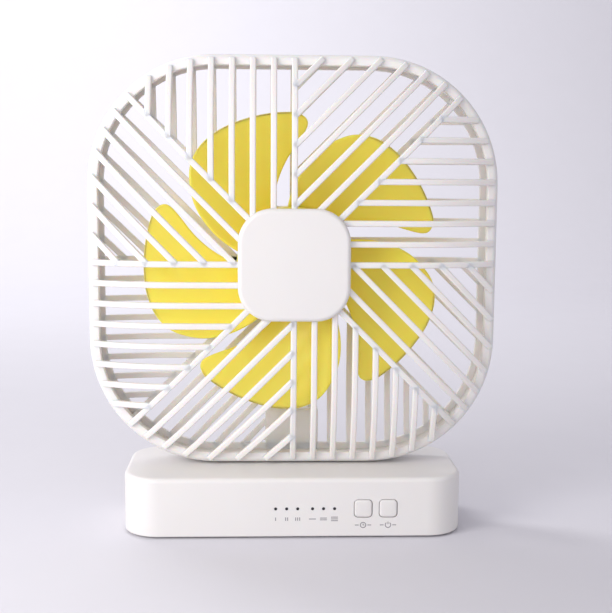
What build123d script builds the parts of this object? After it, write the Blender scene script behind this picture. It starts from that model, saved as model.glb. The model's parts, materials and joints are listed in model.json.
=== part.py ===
from build123d import *
import math
import os

# Rechargeable desk fan: a rounded-square head, hinged at its rear bottom edge to a battery base.
# Millimetres, +Z up, the front faces -Y. The origin is on the floor under the middle of the base.
# Head pieces are drawn face up in a frame of their own: X right, Y up the head, Z out of the front,
# from the hub's centre on the face of the front ribs. A depth is a distance behind that face.

# ---- Driving dimensions ----
GAP = 0.3  # between pieces that move past each other
FIT = 0.05  # radial play of pegs, screws and pins in their own holes
SHAFT_PLAY = 0.03  # running clearance of the motor shaft in its bushes

BASE_WIDTH = 169.5
BASE_DEPTH = 67.0
BASE_TOP = 30.5
BASE_BOTTOM = 1.0  # the feet lift the shell this far
BASE_CORNER = 18.0
BASE_WALL = 2.2
TOP_EDGE = 2.2  # rounding of the base's top edge
BUTTON_PROUD = 0.6
FRONT = (BUTTON_PROUD - BASE_DEPTH) / 2  # the buttons are the foremost pieces, and the whole is centred
BACK = FRONT + BASE_DEPTH

HEAD_HALF = 103.0  # half the head's width and height
CORNER_CENTRE = 39.0  # centre of every head corner arc, from the hub on both axes
HEAD_LIFT = 1.0  # free height between base and head
HUB_Z = BASE_TOP + HEAD_LIFT + HEAD_HALF
FACE_Y = FRONT + 13.5  # face of the front ribs

SECTORS = 8
RIB_PITCH = 10.25
RIB_WIDTH = 3.0
RIB_THICK = 3.0
STRAIGHT_RIBS = 7  # in sectors beside a level or upright spoke
DIAGONAL_RIBS = 6
DOME_FLAT = 57.0  # half-width of the flat middle of both grilles
FRONT_DOME = 11.8  # fall of the front ribs from the middle to their ends
FRONT_RIB_END = 101.0
REAR_DOME = 6.0
REAR_RIB_END = 98.5

FRONT_RIM = (13.0, 16.5)
REAR_RIM = (31.5, 34.5)
RIM_INNER = 97.6
FRONT_RIM_EDGE = 3.0  # rounding of the head's outer edge
REAR_RIM_EDGE = 2.0
FRAME_WALL = 2.4
LIP = (98.9, 100.4, 20.0)  # inner half, outer half and depth of the front grille's spigot
REAR_FACE = 37.5  # depth of the rear ribs' inner face at the middle

CAP_HALF = 27.75
CAP_CORNER = 17.0
CAP_RISE = 3.5
REAR_CAP_BACK = 47.0

PIVOT_DEPTH = 47.0
PIVOT_RISE = 7.0  # hinge axis above the base's top
PIN_R = 1.5
BARREL_R = 5.0
BARREL_HALF = 7.6
EAR_INNER = 8.5
EAR_OUTER = 13.5
EAR_R = 5.5

BLADES = 5
BLADE_FRONT = 11.0  # depth of the trailing edge
BLADE_RISE = 15.0  # how much deeper the leading edge lies
BLADE_THICK = 1.6
BLADE_R = 76.2
HUB_R = 28.5
# Edge points as (radius, angle clockwise from the blade's own upright line)
LEADING_EDGE = [(27, -21.5), (40, -12), (51.3, -4), (60.8, 2.5), (68.5, 5.8), (73, 5), (75.7, 1)]
TRAILING_EDGE = [(27, -79), (43.7, -69), (57, -60), (65.6, -52.5), (71.5, -46), (75, -38), (BLADE_R, -29)]

SHAFT_R = 1.0
CAN_R = 12.2
LEAD_R = 0.9
CAN = (14.0, 39.0)
CAN_WALL = 0.8
END_CAP = (39.0, 42.0)

BUTTON = 8.7
BUTTON_CORNER = 1.9
BUTTON_X = {"timer": 34.4, "power": 46.8}
CONTROL_Z = 15.2  # height of the buttons and lights above the floor
LIGHT_PITCH = 5.45
LIGHT_X = [start + n * LIGHT_PITCH for start in (-8.9, 9.3) for n in range(3)]
LIGHT_R = 0.75
BOARD_BACK = (-25.0, -23.4)  # front and back faces of the upright control board

CELL_R = 9.2
CELL_LENGTH = 65.0
CELL_Y = (-8.0, 12.0)
CELL_Z = 14.5
COVER = (1.0, 3.2)
PORT_X = 0.0
PORT_Z = 12.0

os.makedirs("parts", exist_ok=True)
HEAD_PLACE = Plane(origin=(0, FACE_Y, HUB_Z), x_dir=(1, 0, 0), z_dir=(0, -1, 0)).location
PIVOT_Y = FACE_Y + PIVOT_DEPTH
PIVOT_Z = BASE_TOP + PIVOT_RISE


def save(shape, name):
    """Write one piece to its own file."""
    export_step(shape, f"parts/{name}.step")


def save_head(shape, name):
    """Write a piece drawn in the head's frame, moved to its place on the base."""
    save(HEAD_PLACE * shape, name)


def group(solids):
    """Identical separate pieces kept in one file."""
    return Compound(children=list(solids))


# ---- Shapes used all over the head ----


def squircle(half):
    """The head's rounded-square outline at any size: every corner arc has the same centre."""
    return RectangleRounded(2 * half, 2 * half, half - CORNER_CENTRE)


def slab(outline, front, back):
    """An outline in the head's plane, filled between two depths."""
    return extrude(Pos(0, 0, -back) * outline, amount=back - front, dir=(0, 0, 1))


def disc(radius, front, back, hole=0.0):
    """A round slab on the hub's axis, with a hole through it where one is given."""
    outline = Circle(radius)
    if hole:
        outline -= Circle(hole)
    return slab(outline, front, back)


def ring(outer_half, inner_half, front, back):
    return slab(squircle(outer_half) - squircle(inner_half), front, back)


def rib_outline(reach):
    """Eight spokes; in each sector the ribs run parallel to one spoke and start on the next."""
    bars = []
    for sector in range(SECTORS):
        turn = Rot(0, 0, sector * 360 / SECTORS)
        ribs = DIAGONAL_RIBS if sector % 2 else STRAIGHT_RIBS
        for n in range(ribs + 1):
            start = n * RIB_PITCH
            length = 2 * HEAD_HALF - start
            bars.append(turn * Pos(start + length / 2, start, 0) * Rectangle(length, RIB_WIDTH))
    return (Sketch() + bars) & squircle(reach)


def dome_layer(face, fall, reach, toward):
    """Layer that the ribs are cut from: flat in the middle, then an arc all round.

    toward is 1 where the edges lie deeper than the middle, and -1 where they come forward.
    """
    flat = DOME_FLAT - CORNER_CENTRE
    end = reach - CORNER_CENTRE
    radius = ((end - flat) ** 2 + fall**2) / (2 * fall)
    half_turn = math.asin((end - flat) / radius) / 2
    middle = (flat + radius * math.sin(half_turn), radius * (1 - math.cos(half_turn)))
    top, low = -face, -face - RIB_THICK

    def bow(level):
        return ThreePointArc(
            (flat, level), (middle[0], level - toward * middle[1]), (end, level - toward * fall)
        )

    edges = [
        Line((0, top), (flat, top)),
        bow(top),
        Line((end, top - toward * fall), (end, low - toward * fall)),
        bow(low),
        Line((flat, low), (0, low)),
        Line((0, low), (0, top)),
    ]
    profile = Plane.XZ * make_face(edges)
    corner = Pos(CORNER_CENTRE, CORNER_CENTRE, 0) * revolve(profile, Axis.Z, revolution_arc=90)
    side = Pos(CORNER_CENTRE, 0, 0) * extrude(profile, amount=CORNER_CENTRE, both=True)
    middle_plate = slab(Rectangle(2 * CORNER_CENTRE, 2 * CORNER_CENTRE), face, face + RIB_THICK)
    quarters = [Rot(0, 0, 90 * k) * piece for k in range(4) for piece in (corner, side)]
    return Part() + [middle_plate] + quarters


def rib_set(face, fall, reach, toward):
    deepest = face + fall + 2 * RIB_THICK
    bars = slab(rib_outline(reach), face - fall - RIB_THICK, deepest)
    return bars & dome_layer(face, fall, reach, toward)


# ---- Head: casing ----
POST_R = 1.9
SCREW_SPOT = CORNER_CENTRE + (RIM_INNER + POST_R - CORNER_CENTRE) / math.sqrt(2)
CORNERS = [(x * SCREW_SPOT, y * SCREW_SPOT) for x in (-1, 1) for y in (-1, 1)]
HUB_PLATE_HALF = 26.0
PEG_R = 3.0
PAD_HALF = 13.9  # half-width of the pad and plate that carry the hinge
PAD_TOP = -HEAD_HALF + 24.0
PAD_LOW = -HEAD_HALF + 0.4
PAD_BACK = 38.0
PAD_SCREW_X = 9.5
PAD_SCREW_Y = PAD_TOP - 3.2
SOCKET_R = 14.4
SOCKET_FRONT = 27.5


def hub_square(half, corner=CAP_CORNER):
    return RectangleRounded(2 * half, 2 * half, corner)


def front_grille():
    ribs = rib_set(0, FRONT_DOME, FRONT_RIB_END, 1)
    rim = slab(squircle(HEAD_HALF), *FRONT_RIM)
    rim = fillet(rim.edges().group_by(Axis.Z)[-1], FRONT_RIM_EDGE) - slab(squircle(RIM_INNER), *FRONT_RIM)
    lip = ring(LIP[1], LIP[0], FRONT_RIM[1] - 0.5, LIP[2])
    plate = slab(hub_square(HUB_PLATE_HALF), 0, RIB_THICK)
    peg_hole = disc(PEG_R + FIT, -1, RIB_THICK + 1)
    return ribs + rim + lip + plate - peg_hole


def centre_cap():
    """Plain badge cap over the hub plate, hollow behind, held by one peg."""
    cap = slab(hub_square(CAP_HALF), -CAP_RISE, 0)
    cap = fillet(cap.faces().sort_by(Axis.Z)[-1].edges(), 2.2)
    hollow = slab(hub_square(CAP_HALF - 2.5, CAP_CORNER - 2.5), -1.2, 0)
    return cap - hollow + disc(PEG_R, -2.0, RIB_THICK)


def head_frame():
    """Deep wall round the fan, with a screw post in each corner."""
    wall = ring(HEAD_HALF, HEAD_HALF - FRAME_WALL, FRONT_RIM[1], REAR_RIM[0])
    posts = [slab(Pos(x, y) * Circle(POST_R), LIP[2] + 0.6, REAR_RIM[0]) for x, y in CORNERS]
    pilots = [slab(Pos(x, y) * Circle(0.9), LIP[2], REAR_RIM[0] + 1) for x, y in CORNERS]
    return wall + posts - pilots


def rear_grille():
    """Rear ribs, rim, the pad that carries the hinge and the socket that holds the motor."""
    ribs = rib_set(REAR_FACE, REAR_DOME, REAR_RIB_END, -1)
    rim = slab(squircle(HEAD_HALF), *REAR_RIM)
    rim = fillet(rim.edges().group_by(Axis.Z)[0], REAR_RIM_EDGE) - slab(squircle(RIM_INNER - 0.3), *REAR_RIM)
    pad_middle = Pos(0, (PAD_TOP + PAD_LOW) / 2)
    pad_size = (2 * PAD_HALF, PAD_TOP - PAD_LOW)
    pad = slab(pad_middle * Rectangle(*pad_size), REAR_RIM[0], PAD_BACK)
    leaf_seat = slab(pad_middle * Rectangle(*(s + 2 * GAP for s in pad_size)), PAD_BACK, PAD_BACK + RIB_THICK)
    plate = slab(hub_square(CAP_HALF), REAR_FACE, REAR_FACE + RIB_THICK)
    socket = disc(SOCKET_R, SOCKET_FRONT, REAR_FACE + RIB_THICK)
    bore = disc(CAN_R + FIT, SOCKET_FRONT - 1, REAR_FACE + RIB_THICK + 1)
    holes = [slab(Pos(x, y) * Circle(1.1), REAR_RIM[0] - 1, REAR_RIM[1] + 1) for x, y in CORNERS]
    seats = [slab(Pos(x, y) * Circle(POST_R), REAR_RIM[1] - 1.3, REAR_RIM[1] + 3) for x, y in CORNERS]
    pad_pilots = [
        slab(Pos(x, PAD_SCREW_Y) * Circle(0.9), REAR_RIM[0] + 1.5, PAD_BACK + 1)
        for x in (-PAD_SCREW_X, PAD_SCREW_X)
    ]
    posts = [slab(Pos(x, 0) * Circle(2.4), REAR_FACE + 1, STRAP[0] - 0.05) for x in STRAP_X]
    post_pilots = [slab(Pos(x, 0) * Circle(0.9), REAR_FACE + 0.6, STRAP[0] + 1) for x in STRAP_X]
    solid = ribs + rim + pad + plate + socket + posts
    return solid - leaf_seat - bore - holes - seats - pad_pilots - post_pilots


def rear_cap():
    """Cover over the back of the motor."""
    front = REAR_FACE + RIB_THICK
    cap = slab(hub_square(CAP_HALF - 0.7), front, REAR_CAP_BACK)
    cap = fillet(cap.faces().sort_by(Axis.Z)[0].edges(), 2.5)
    cap -= slab(hub_square(CAP_HALF - 2.7, CAP_CORNER - 2), front, REAR_CAP_BACK - 2)
    notch = slab(Pos(0, -CAP_HALF) * Rectangle(2 * LEAD_R + 0.4, 8), front, LEAD_DEPTH + LEAD_R + 0.2)
    return cap - notch


def pan_screw(x, y, head_front, head_back, tip, head_r=1.8, shank_r=0.85):
    """Pan-head screw along the head's axis: the head lies between two depths."""
    head = slab(Pos(x, y) * Circle(head_r), head_front, head_back)
    low, high = sorted((tip, head_front))
    shank = slab(Pos(x, y) * Circle(shank_r), low, high)
    cross = Rectangle(1.8, 0.45) + Rectangle(0.45, 1.8)
    slot = slab(Pos(x, y) * cross, head_back - 0.5, head_back + 1)
    return head + shank - slot


def grille_screws():
    seat = REAR_RIM[1] - 1.3
    return group(pan_screw(x, y, seat, seat + 1.2, LIP[2] + 2) for x, y in CORNERS)


# ---- Head: hinge leaf ----
PLATE_BACK = PAD_BACK + 2.5
AXIS_Y = PIVOT_Z - HUB_Z  # hinge axis in the head's frame


def hinge_bracket():
    """Leaf screwed to the pad, with the barrel that turns on the hinge pin."""
    outline = Pos(0, (PAD_TOP + PAD_LOW) / 2) * RectangleRounded(2 * PAD_HALF, PAD_TOP - PAD_LOW, 2)
    plate = slab(outline, PAD_BACK, PLATE_BACK)
    barrel = Rot(0, 90, 0) * Cylinder(BARREL_R, 2 * BARREL_HALF)
    web = Pos(0, 0, 4.5) * Box(2 * BARREL_HALF, 2 * BARREL_R, 6)
    knuckle = Pos(0, AXIS_Y, -PIVOT_DEPTH) * (barrel + web)
    bore = Pos(0, AXIS_Y, -PIVOT_DEPTH) * Rot(0, 90, 0) * Cylinder(PIN_R + FIT, 4 * BARREL_HALF)
    holes = [
        slab(Pos(x, PAD_SCREW_Y) * Circle(1.1), PAD_BACK - 1, PLATE_BACK + 1)
        for x in (-PAD_SCREW_X, PAD_SCREW_X)
    ]
    lead_hole = Pos(0, AXIS_Y + BARREL_R, -LEAD_DEPTH) * Rot(90, 0, 0) * Cylinder(LEAD_R + FIT, 5)
    return plate + knuckle - bore - holes - lead_hole


def bracket_screws():
    places = (-PAD_SCREW_X, PAD_SCREW_X)
    tip = REAR_RIM[0] + 2
    return group(pan_screw(x, PAD_SCREW_Y, PLATE_BACK, PLATE_BACK + 0.9, tip) for x in places)


# ---- Head: motor, fixed pieces ----
MAGNET = (17.0, 36.0)
BRUSH_Z = 37.0
LEAD_DEPTH = REAR_FACE + RIB_THICK + 1.0
STRAP = (42.2, 43.4)
STRAP_X = (-19.0, 19.0)


def motor_can():
    cup = disc(CAN_R, *CAN)
    inside = disc(CAN_R - CAN_WALL, CAN[0] + CAN_WALL, CAN[1] + 1)
    nose_hole = disc(3.0 + FIT, CAN[0] - 1, CAN[0] + 2)
    return cup - inside - nose_hole


def motor_end_cap():
    plate = disc(CAN_R, *END_CAP) + disc(CAN_R - CAN_WALL - FIT, END_CAP[0] - 1.0, END_CAP[0] + 0.5)
    return plate - disc(2.5 + FIT, END_CAP[0] - 3, END_CAP[1] + 1)


def motor_bushes():
    """Sintered bearings: one in the can's nose, one in the end cap."""
    bore = SHAFT_R + SHAFT_PLAY
    front = disc(3.0, CAN[0] - 0.6, CAN[0] + 2.4, bore)
    rear = disc(2.5, END_CAP[0] + 0.2, END_CAP[1] + 0.6, bore)
    return group([front, rear])


def motor_magnets():
    arc = disc(CAN_R - CAN_WALL - FIT, *MAGNET, 9.3)
    gap = slab(Rectangle(8, 40), MAGNET[0] - 1, MAGNET[1] + 1)
    return group((arc - gap).solids())


def motor_brushes():
    """Two carbon blocks that touch down beside the commutator."""
    block = Pos(3.9, 0, -BRUSH_Z) * Box(1.4, 2.0, 1.6)
    return group([block, Rot(0, 0, 180) * block])


def motor_lead():
    """Lead from the motor, straight down behind the lowest spoke and into the hinge leaf."""
    top, low = -CAN_R - 0.7, AXIS_Y + BARREL_R - 2
    tube = Rot(90, 0, 0) * Cylinder(LEAD_R, top - low)
    return Pos(0, (top + low) / 2, -LEAD_DEPTH) * tube


def motor_retainer():
    """Steel strap across the back of the motor, screwed to two posts."""
    strap = slab(RectangleRounded(46, 10, 4), *STRAP) - disc(4, STRAP[0] - 1, STRAP[1] + 1)
    return strap - [slab(Pos(x, 0) * Circle(1.1), STRAP[0] - 1, STRAP[1] + 1) for x in STRAP_X]


def retainer_screws():
    return group(pan_screw(x, 0, STRAP[1], STRAP[1] + 0.9, REAR_FACE + 1) for x in STRAP_X)


# ---- Rotor ----
HUB = (6.0, 28.5)
HUB_WALL = 2.5
TRAIL_TURN = (-76.0, 0.62)  # trailing edge: angle at 30 mm radius, and degrees per mm beyond
LEAD_TURN = (-19.0, 0.70)
CAMBER = 1.8  # how far the middle of the chord sits behind a straight line
ARMATURE = (19.0, 33.0)
POLE_WIDTH = 3.0
COIL_X = 4.9  # middle of each coil, between the core and the pole's shoe
COMMUTATOR = (34.9, 37.7)


def polar_point(radius, turn):
    """Point at a radius, its angle clockwise from upright."""
    return (radius * math.sin(math.radians(turn)), radius * math.cos(math.radians(turn)))


def blade_surface_point(radius, share):
    """Point of the twisted blade surface; share runs from 0 at the trailing edge to 1 at the leading."""
    trail = TRAIL_TURN[0] + TRAIL_TURN[1] * (radius - 30)
    lead = LEAD_TURN[0] + LEAD_TURN[1] * (radius - 30)
    depth = BLADE_FRONT + BLADE_RISE * share + 4 * CAMBER * share * (1 - share)
    return Vector(*polar_point(radius, trail + share * (lead - trail)), -depth)


def blade():
    """One swept blade: a thickened twisted surface, trimmed to the blade's outline."""
    radii = [22 + 8 * n for n in range(9)]
    shares = [-0.3 + 0.2 * n for n in range(9)]
    grid = [[blade_surface_point(r, s) for s in shares] for r in radii]
    sheet = Face.make_surface_from_array_of_points(grid)
    skin = Solid.thicken(sheet, BLADE_THICK)
    lead = Spline(*[polar_point(*p) for p in LEADING_EDGE])
    trail = Spline(*[polar_point(*p) for p in TRAILING_EDGE])
    outer = ThreePointArc(lead @ 1, polar_point(BLADE_R, -12), trail @ 1)
    outline = make_face([lead, outer, trail, Line(trail @ 0, lead @ 0)])
    return skin & slab(outline, 0, 40)


def fan_blades():
    """Hub and blades in one moulding."""
    cup = disc(HUB_R, *HUB)
    cup = fillet(cup.edges().group_by(Axis.Z)[-1], 1.5)
    cup -= disc(HUB_R - HUB_WALL, HUB[0] + HUB_WALL, HUB[1] + 1)
    boss = disc(4, HUB[0] + 1, CAN[0] - 1)
    one = blade()
    blades = [Rot(0, 0, -360 / BLADES * n) * one for n in range(BLADES)]
    return cup + boss + blades - disc(SHAFT_R + 0.02, HUB[0] - 1, CAN[0])


def blade_clip():
    return disc(3.2, HUB[0] - 1.1, HUB[0] - 0.1, SHAFT_R + 0.02)


def motor_shaft():
    return disc(SHAFT_R, HUB[0] - 1.4, END_CAP[1] + 1)


def motor_armature():
    """Laminated core: three poles, each with a curved shoe."""
    pole = Pos(4.5, 0) * Rectangle(7, POLE_WIDTH)
    shoe = (Circle(8.7) - Circle(7.3)) & Pos(8, 0) * Rectangle(9, 12.6)
    outline = Circle(3.2) + [Rot(0, 0, 120 * n) * part for n in range(3) for part in (pole, shoe)]
    return slab(outline - Circle(SHAFT_R + 0.02), *ARMATURE)


def motor_windings():
    """Three copper coils, one round each pole."""
    middle = Pos(COIL_X, 0)
    coil = slab(middle * Rectangle(2.8, 6.8), ARMATURE[0] - 1.6, ARMATURE[1] + 1.6)
    coil -= slab(middle * Rectangle(4, POLE_WIDTH + 2 * FIT), ARMATURE[0] - FIT, ARMATURE[1] + FIT)
    return group(Rot(0, 0, 120 * n) * coil for n in range(3))


def commutator():
    return disc(3.1, *COMMUTATOR, SHAFT_R + 0.02)


# ---- Base ----
INNER_FRONT = FRONT + BASE_WALL
SCREW_XY = [(x * 72, y * 21.5) for x in (-1, 1) for y in (-1, 1)]
FEET_XY = [(x * 56, y * 24) for x in (-1, 1) for y in (-1, 1)]
BOARD_SCREW_X = (-19.0, 58.0)
BOARD = (-26.0, 62.0, 6.0, 24.4)  # left, right, bottom and top of the control board
CHARGE_BOARD_TOP = 10.3
CHARGE_BOARD_Y = (21.8, 30.8)
CHARGE_SCREW_X = (-9.3, 9.3)
CHARGE_SCREW_Y = 26.3
SEAT_PLATE = (26.0, 28.2)
STEM_Y = (22.6, 31.0)


def block(x, y, z):
    """Box between two values on each axis."""
    size = [high - low for low, high in (x, y, z)]
    centre = [(high + low) / 2 for low, high in (x, y, z)]
    return Pos(*centre) * Box(*size)


def upright(radius, x, y, low, high):
    """Cylinder standing on the base's floor plan."""
    return Pos(x, y, (low + high) / 2) * Cylinder(radius, high - low)


def along_y(radius, x, z, front, back):
    """Cylinder that runs from front to back."""
    return Pos(x, (front + back) / 2, z) * Rot(90, 0, 0) * Cylinder(radius, back - front)


def along_x(radius, y, z, left, right):
    return Pos((left + right) / 2, y, z) * Rot(0, 90, 0) * Cylinder(radius, right - left)


def front_prism(outline, x, z, front, back):
    """An outline seen from the front, filled from one Y to another."""
    face = Plane(origin=(x, back, z), x_dir=(1, 0, 0), z_dir=(0, -1, 0)) * outline
    return extrude(face, amount=back - front, dir=(0, -1, 0))


def plan(inset, low, high):
    """The base's own plan, drawn in by an inset, between two heights."""
    outline = RectangleRounded(BASE_WIDTH - 2 * inset, BASE_DEPTH - 2 * inset, BASE_CORNER - inset)
    return extrude(Pos(0, (FRONT + BACK) / 2, low) * outline, amount=high - low)


def base_shell():
    """Upper housing, open below, with its screw bosses and the holes for what shows outside."""
    shell = plan(0, BASE_BOTTOM, BASE_TOP)
    shell = fillet(shell.edges().group_by(Axis.Z)[-1], TOP_EDGE)
    shell = chamfer(shell.edges().group_by(Axis.Z)[0], 0.5)
    shell -= plan(BASE_WALL, 0, BASE_TOP - BASE_WALL)
    bosses = [upright(3.6, x, y, COVER[1] + 0.1, BASE_TOP - 1) for x, y in SCREW_XY]
    pilots = [upright(1.1, x, y, 0, 16) for x, y in SCREW_XY]
    posts = [along_y(2.4, x, CONTROL_Z, INNER_FRONT - 1, BOARD_BACK[0] - 0.05) for x in BOARD_SCREW_X]
    post_pilots = [along_y(0.8, x, CONTROL_Z, INNER_FRONT, BOARD_BACK[0] + 1) for x in BOARD_SCREW_X]
    hole = RectangleRounded(BUTTON + 2 * GAP, BUTTON + 2 * GAP, BUTTON_CORNER + GAP)
    holes = [front_prism(hole, x, CONTROL_Z, FRONT - 1, INNER_FRONT + 1) for x in BUTTON_X.values()]
    lights = [along_y(LIGHT_R + FIT, x, CONTROL_Z, FRONT - 1, INNER_FRONT + 1) for x in LIGHT_X]
    port = front_prism(RectangleRounded(9.6, 3.8, 1.8), PORT_X, PORT_Z, BACK - BASE_WALL - 1, BACK + 1)
    slots = [
        block(sorted((side * (EAR_INNER - 0.1), side * (EAR_OUTER + 0.1))),
              (STEM_Y[0] - 0.1, STEM_Y[1] + 0.1), (SEAT_PLATE[1], BASE_TOP + 1))
        for side in (-1, 1)
    ]
    return shell + bosses + posts - pilots - post_pilots - holes - lights - port - slots


def base_cover():
    """Floor plate with recessed screws and feet, and two posts for the charging board."""
    plate = plan(BASE_WALL + GAP, *COVER)
    posts = [upright(2.0, x, CHARGE_SCREW_Y, COVER[1] - 0.5, CHARGE_BOARD_TOP - 1.3) for x in CHARGE_SCREW_X]
    pilots = [upright(0.7, x, CHARGE_SCREW_Y, COVER[1] + 1, 20) for x in CHARGE_SCREW_X]
    holes = [upright(1.5, x, y, 0, COVER[1] + 1) for x, y in SCREW_XY]
    seats = [upright(2.9, x, y, 0, COVER[0] + 1.3) for x, y in SCREW_XY]
    pockets = [upright(6.1, x, y, 0, COVER[0] + 0.7) for x, y in FEET_XY]
    return plate + posts - pilots - holes - seats - pockets


def base_screws():
    seat = COVER[0] + 1.3
    head = upright(2.6, 0, 0, seat - 1.1, seat)
    cross = upright(3, 0, 0, 0, seat - 0.7) & (Box(3.2, 0.6, 9) + Box(0.6, 3.2, 9))
    screw = head + upright(1.05, 0, 0, seat, 14) - cross
    return group(Pos(x, y, 0) * screw for x, y in SCREW_XY)


def rubber_feet():
    foot = upright(6.0, 0, 0, 0, COVER[0] + 0.65)
    foot = fillet(foot.edges().group_by(Axis.Z)[0], 0.4)
    return group(Pos(x, y, 0) * foot for x, y in FEET_XY)


def battery_cells():
    """Two cylindrical cells side by side, each with a raised contact."""
    cells = []
    for y in CELL_Y:
        can = along_x(CELL_R, y, CELL_Z, -CELL_LENGTH / 2, CELL_LENGTH / 2 - 1)
        nub = along_x(2.8, y, CELL_Z, CELL_LENGTH / 2 - 1, CELL_LENGTH / 2)
        cells.append(can + nub)
    return group(cells)


def battery_holder():
    """Cradle that the cells lie in, standing on the floor plate."""
    cradle = block((-37, 37), (-18.6, 21.4), (COVER[1] + 0.1, 11))
    for y in CELL_Y:
        cradle -= along_x(CELL_R + 0.1, y, CELL_Z, -33.2, 33.2)
    return cradle


def battery_tabs():
    """Welded strips that join the cells at each end."""
    middle = sum(CELL_Y) / 2
    span = (middle - 13, middle + 13)
    return group(
        block(x, span, (CELL_Z - 3.4, CELL_Z + 3.4)) for x in ((-32.95, -32.55), (32.55, 32.95))
    )


def control_board():
    left, right, low, high = BOARD
    board = block((left, right), BOARD_BACK, (low, high))
    return board - [along_y(1.1, x, CONTROL_Z, BOARD_BACK[0] - 1, BOARD_BACK[1] + 1) for x in BOARD_SCREW_X]


def switch_bodies():
    """Push switches behind the buttons, open at the front for their plungers."""
    front, back = BOARD_BACK[0] - 3.4, BOARD_BACK[0]
    switches = []
    for x in BUTTON_X.values():
        body = block((x - 3, x + 3), (front, back), (CONTROL_Z - 3, CONTROL_Z + 3))
        switches.append(body - along_y(1.9, x, CONTROL_Z, front - 1, front + 2.3))
    return group(switches)


def light_pipe():
    """Clear strip with a pin for each status light."""
    bar = block((LIGHT_X[0] - 3, LIGHT_X[-1] + 3), (INNER_FRONT + 0.1, INNER_FRONT + 1.7),
                (CONTROL_Z - 1.6, CONTROL_Z + 1.6))
    return bar + [along_y(LIGHT_R, x, CONTROL_Z, FRONT + 0.05, INNER_FRONT + 1) for x in LIGHT_X]


def status_leds():
    front = BOARD_BACK[0] - 1.2
    z = (CONTROL_Z - 0.8, CONTROL_Z + 0.8)
    return group(block((x - 1, x + 1), (front, BOARD_BACK[0]), z) for x in LIGHT_X)


def charge_port():
    """Metal socket shell with its tongue, seen in the back wall."""
    back = BACK - 0.2
    inner = RectangleRounded(8.3, 2.5, 1.2)
    shell = front_prism(RectangleRounded(9.0, 3.2, 1.5), PORT_X, PORT_Z, back - 7.5, back)
    shell -= front_prism(inner, PORT_X, PORT_Z, back - 6.9, back + 1)
    return shell + block((-3.3, 3.3), (back - 7.2, back - 0.8), (PORT_Z - 0.35, PORT_Z + 0.35))


def charge_board():
    board = block((-12, 12), CHARGE_BOARD_Y, (CHARGE_BOARD_TOP - 1.2, CHARGE_BOARD_TOP))
    return board - [upright(0.9, x, CHARGE_SCREW_Y, 0, 20) for x in CHARGE_SCREW_X]


def board_screws():
    """Two screws hold the control board and two hold the charging board."""
    screws = []
    for x in BOARD_SCREW_X:
        head = along_y(1.9, x, CONTROL_Z, BOARD_BACK[1], BOARD_BACK[1] + 1.1)
        screws.append(head + along_y(0.75, x, CONTROL_Z, INNER_FRONT + 1.5, BOARD_BACK[1]))
    for x in CHARGE_SCREW_X:
        head = upright(1.5, x, CHARGE_SCREW_Y, CHARGE_BOARD_TOP, CHARGE_BOARD_TOP + 0.9)
        screws.append(head + upright(0.65, x, CHARGE_SCREW_Y, COVER[1] + 1.5, CHARGE_BOARD_TOP))
    return group(screws)


def hinge_seat():
    """Plate under the base's top with the two ears that stand up through it."""
    seat = block((-17, 17), (STEM_Y[0] - 4, STEM_Y[1]), SEAT_PLATE)
    for side in (-1, 1):
        x = sorted((side * EAR_INNER, side * EAR_OUTER))
        stem = block(x, STEM_Y, (SEAT_PLATE[0] + 1, PIVOT_Z))
        seat += stem + along_x(EAR_R, PIVOT_Y, PIVOT_Z, *x)
    return seat - along_x(PIN_R + 0.02, PIVOT_Y, PIVOT_Z, -30, 30)


def friction_washers():
    """Spring washers that grip the barrel from both sides."""
    inner, outer = BARREL_HALF + 0.1, EAR_INNER - 0.1
    washers = []
    for side in (-1, 1):
        x = sorted((side * inner, side * outer))
        hole = along_x(PIN_R + 0.1, PIVOT_Y, PIVOT_Z, x[0] - 1, x[1] + 1)
        washers.append(along_x(4.4, PIVOT_Y, PIVOT_Z, *x) - hole)
    return group(washers)


def hinge_pin():
    """Pin with a head at each end, through both ears and the barrel."""
    pin = along_x(PIN_R, PIVOT_Y, PIVOT_Z, -EAR_OUTER - 0.5, EAR_OUTER + 0.5)
    for side in (-1, 1):
        x = sorted((side * (EAR_OUTER + 0.05), side * (EAR_OUTER + 1.0)))
        pin += along_x(2.6, PIVOT_Y, PIVOT_Z, *x)
    return pin


# ---- Buttons ----
FLANGE = (INNER_FRONT + 0.2, INNER_FRONT + 1.2)


def push_button(x):
    """Square key with a flange that keeps it behind the front wall."""
    outline = RectangleRounded(BUTTON, BUTTON, BUTTON_CORNER)
    key = front_prism(outline, x, CONTROL_Z, FRONT - BUTTON_PROUD, FLANGE[1])
    key = fillet(key.faces().sort_by(Axis.Y)[0].edges(), 0.4)
    return key + front_prism(RectangleRounded(11.3, 11.3, 2.6), x, CONTROL_Z, *FLANGE)


def plunger(x):
    return along_y(1.6, x, CONTROL_Z, FLANGE[1], FLANGE[1] + 2.5)


BASE_PIECES = [
    base_shell, base_cover, base_screws, rubber_feet, battery_cells, battery_holder, battery_tabs,
    control_board, switch_bodies, light_pipe, status_leds, charge_port, charge_board, board_screws,
    hinge_seat, friction_washers, hinge_pin,
]
HEAD_PIECES = [
    front_grille, centre_cap, head_frame, rear_grille, rear_cap, grille_screws, hinge_bracket,
    bracket_screws, motor_can, motor_end_cap, motor_bushes, motor_magnets, motor_brushes, motor_lead,
    motor_retainer, retainer_screws, fan_blades, blade_clip, motor_shaft, motor_armature,
    motor_windings, commutator,
]

for make in BASE_PIECES:
    save(make(), make.__name__)
for make in HEAD_PIECES:
    save_head(make(), make.__name__)
for key_name, key_x in BUTTON_X.items():
    save(push_button(key_x), f"{key_name}_button")
    save(plunger(key_x), f"{key_name}_plunger")
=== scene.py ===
import json
import math

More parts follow.
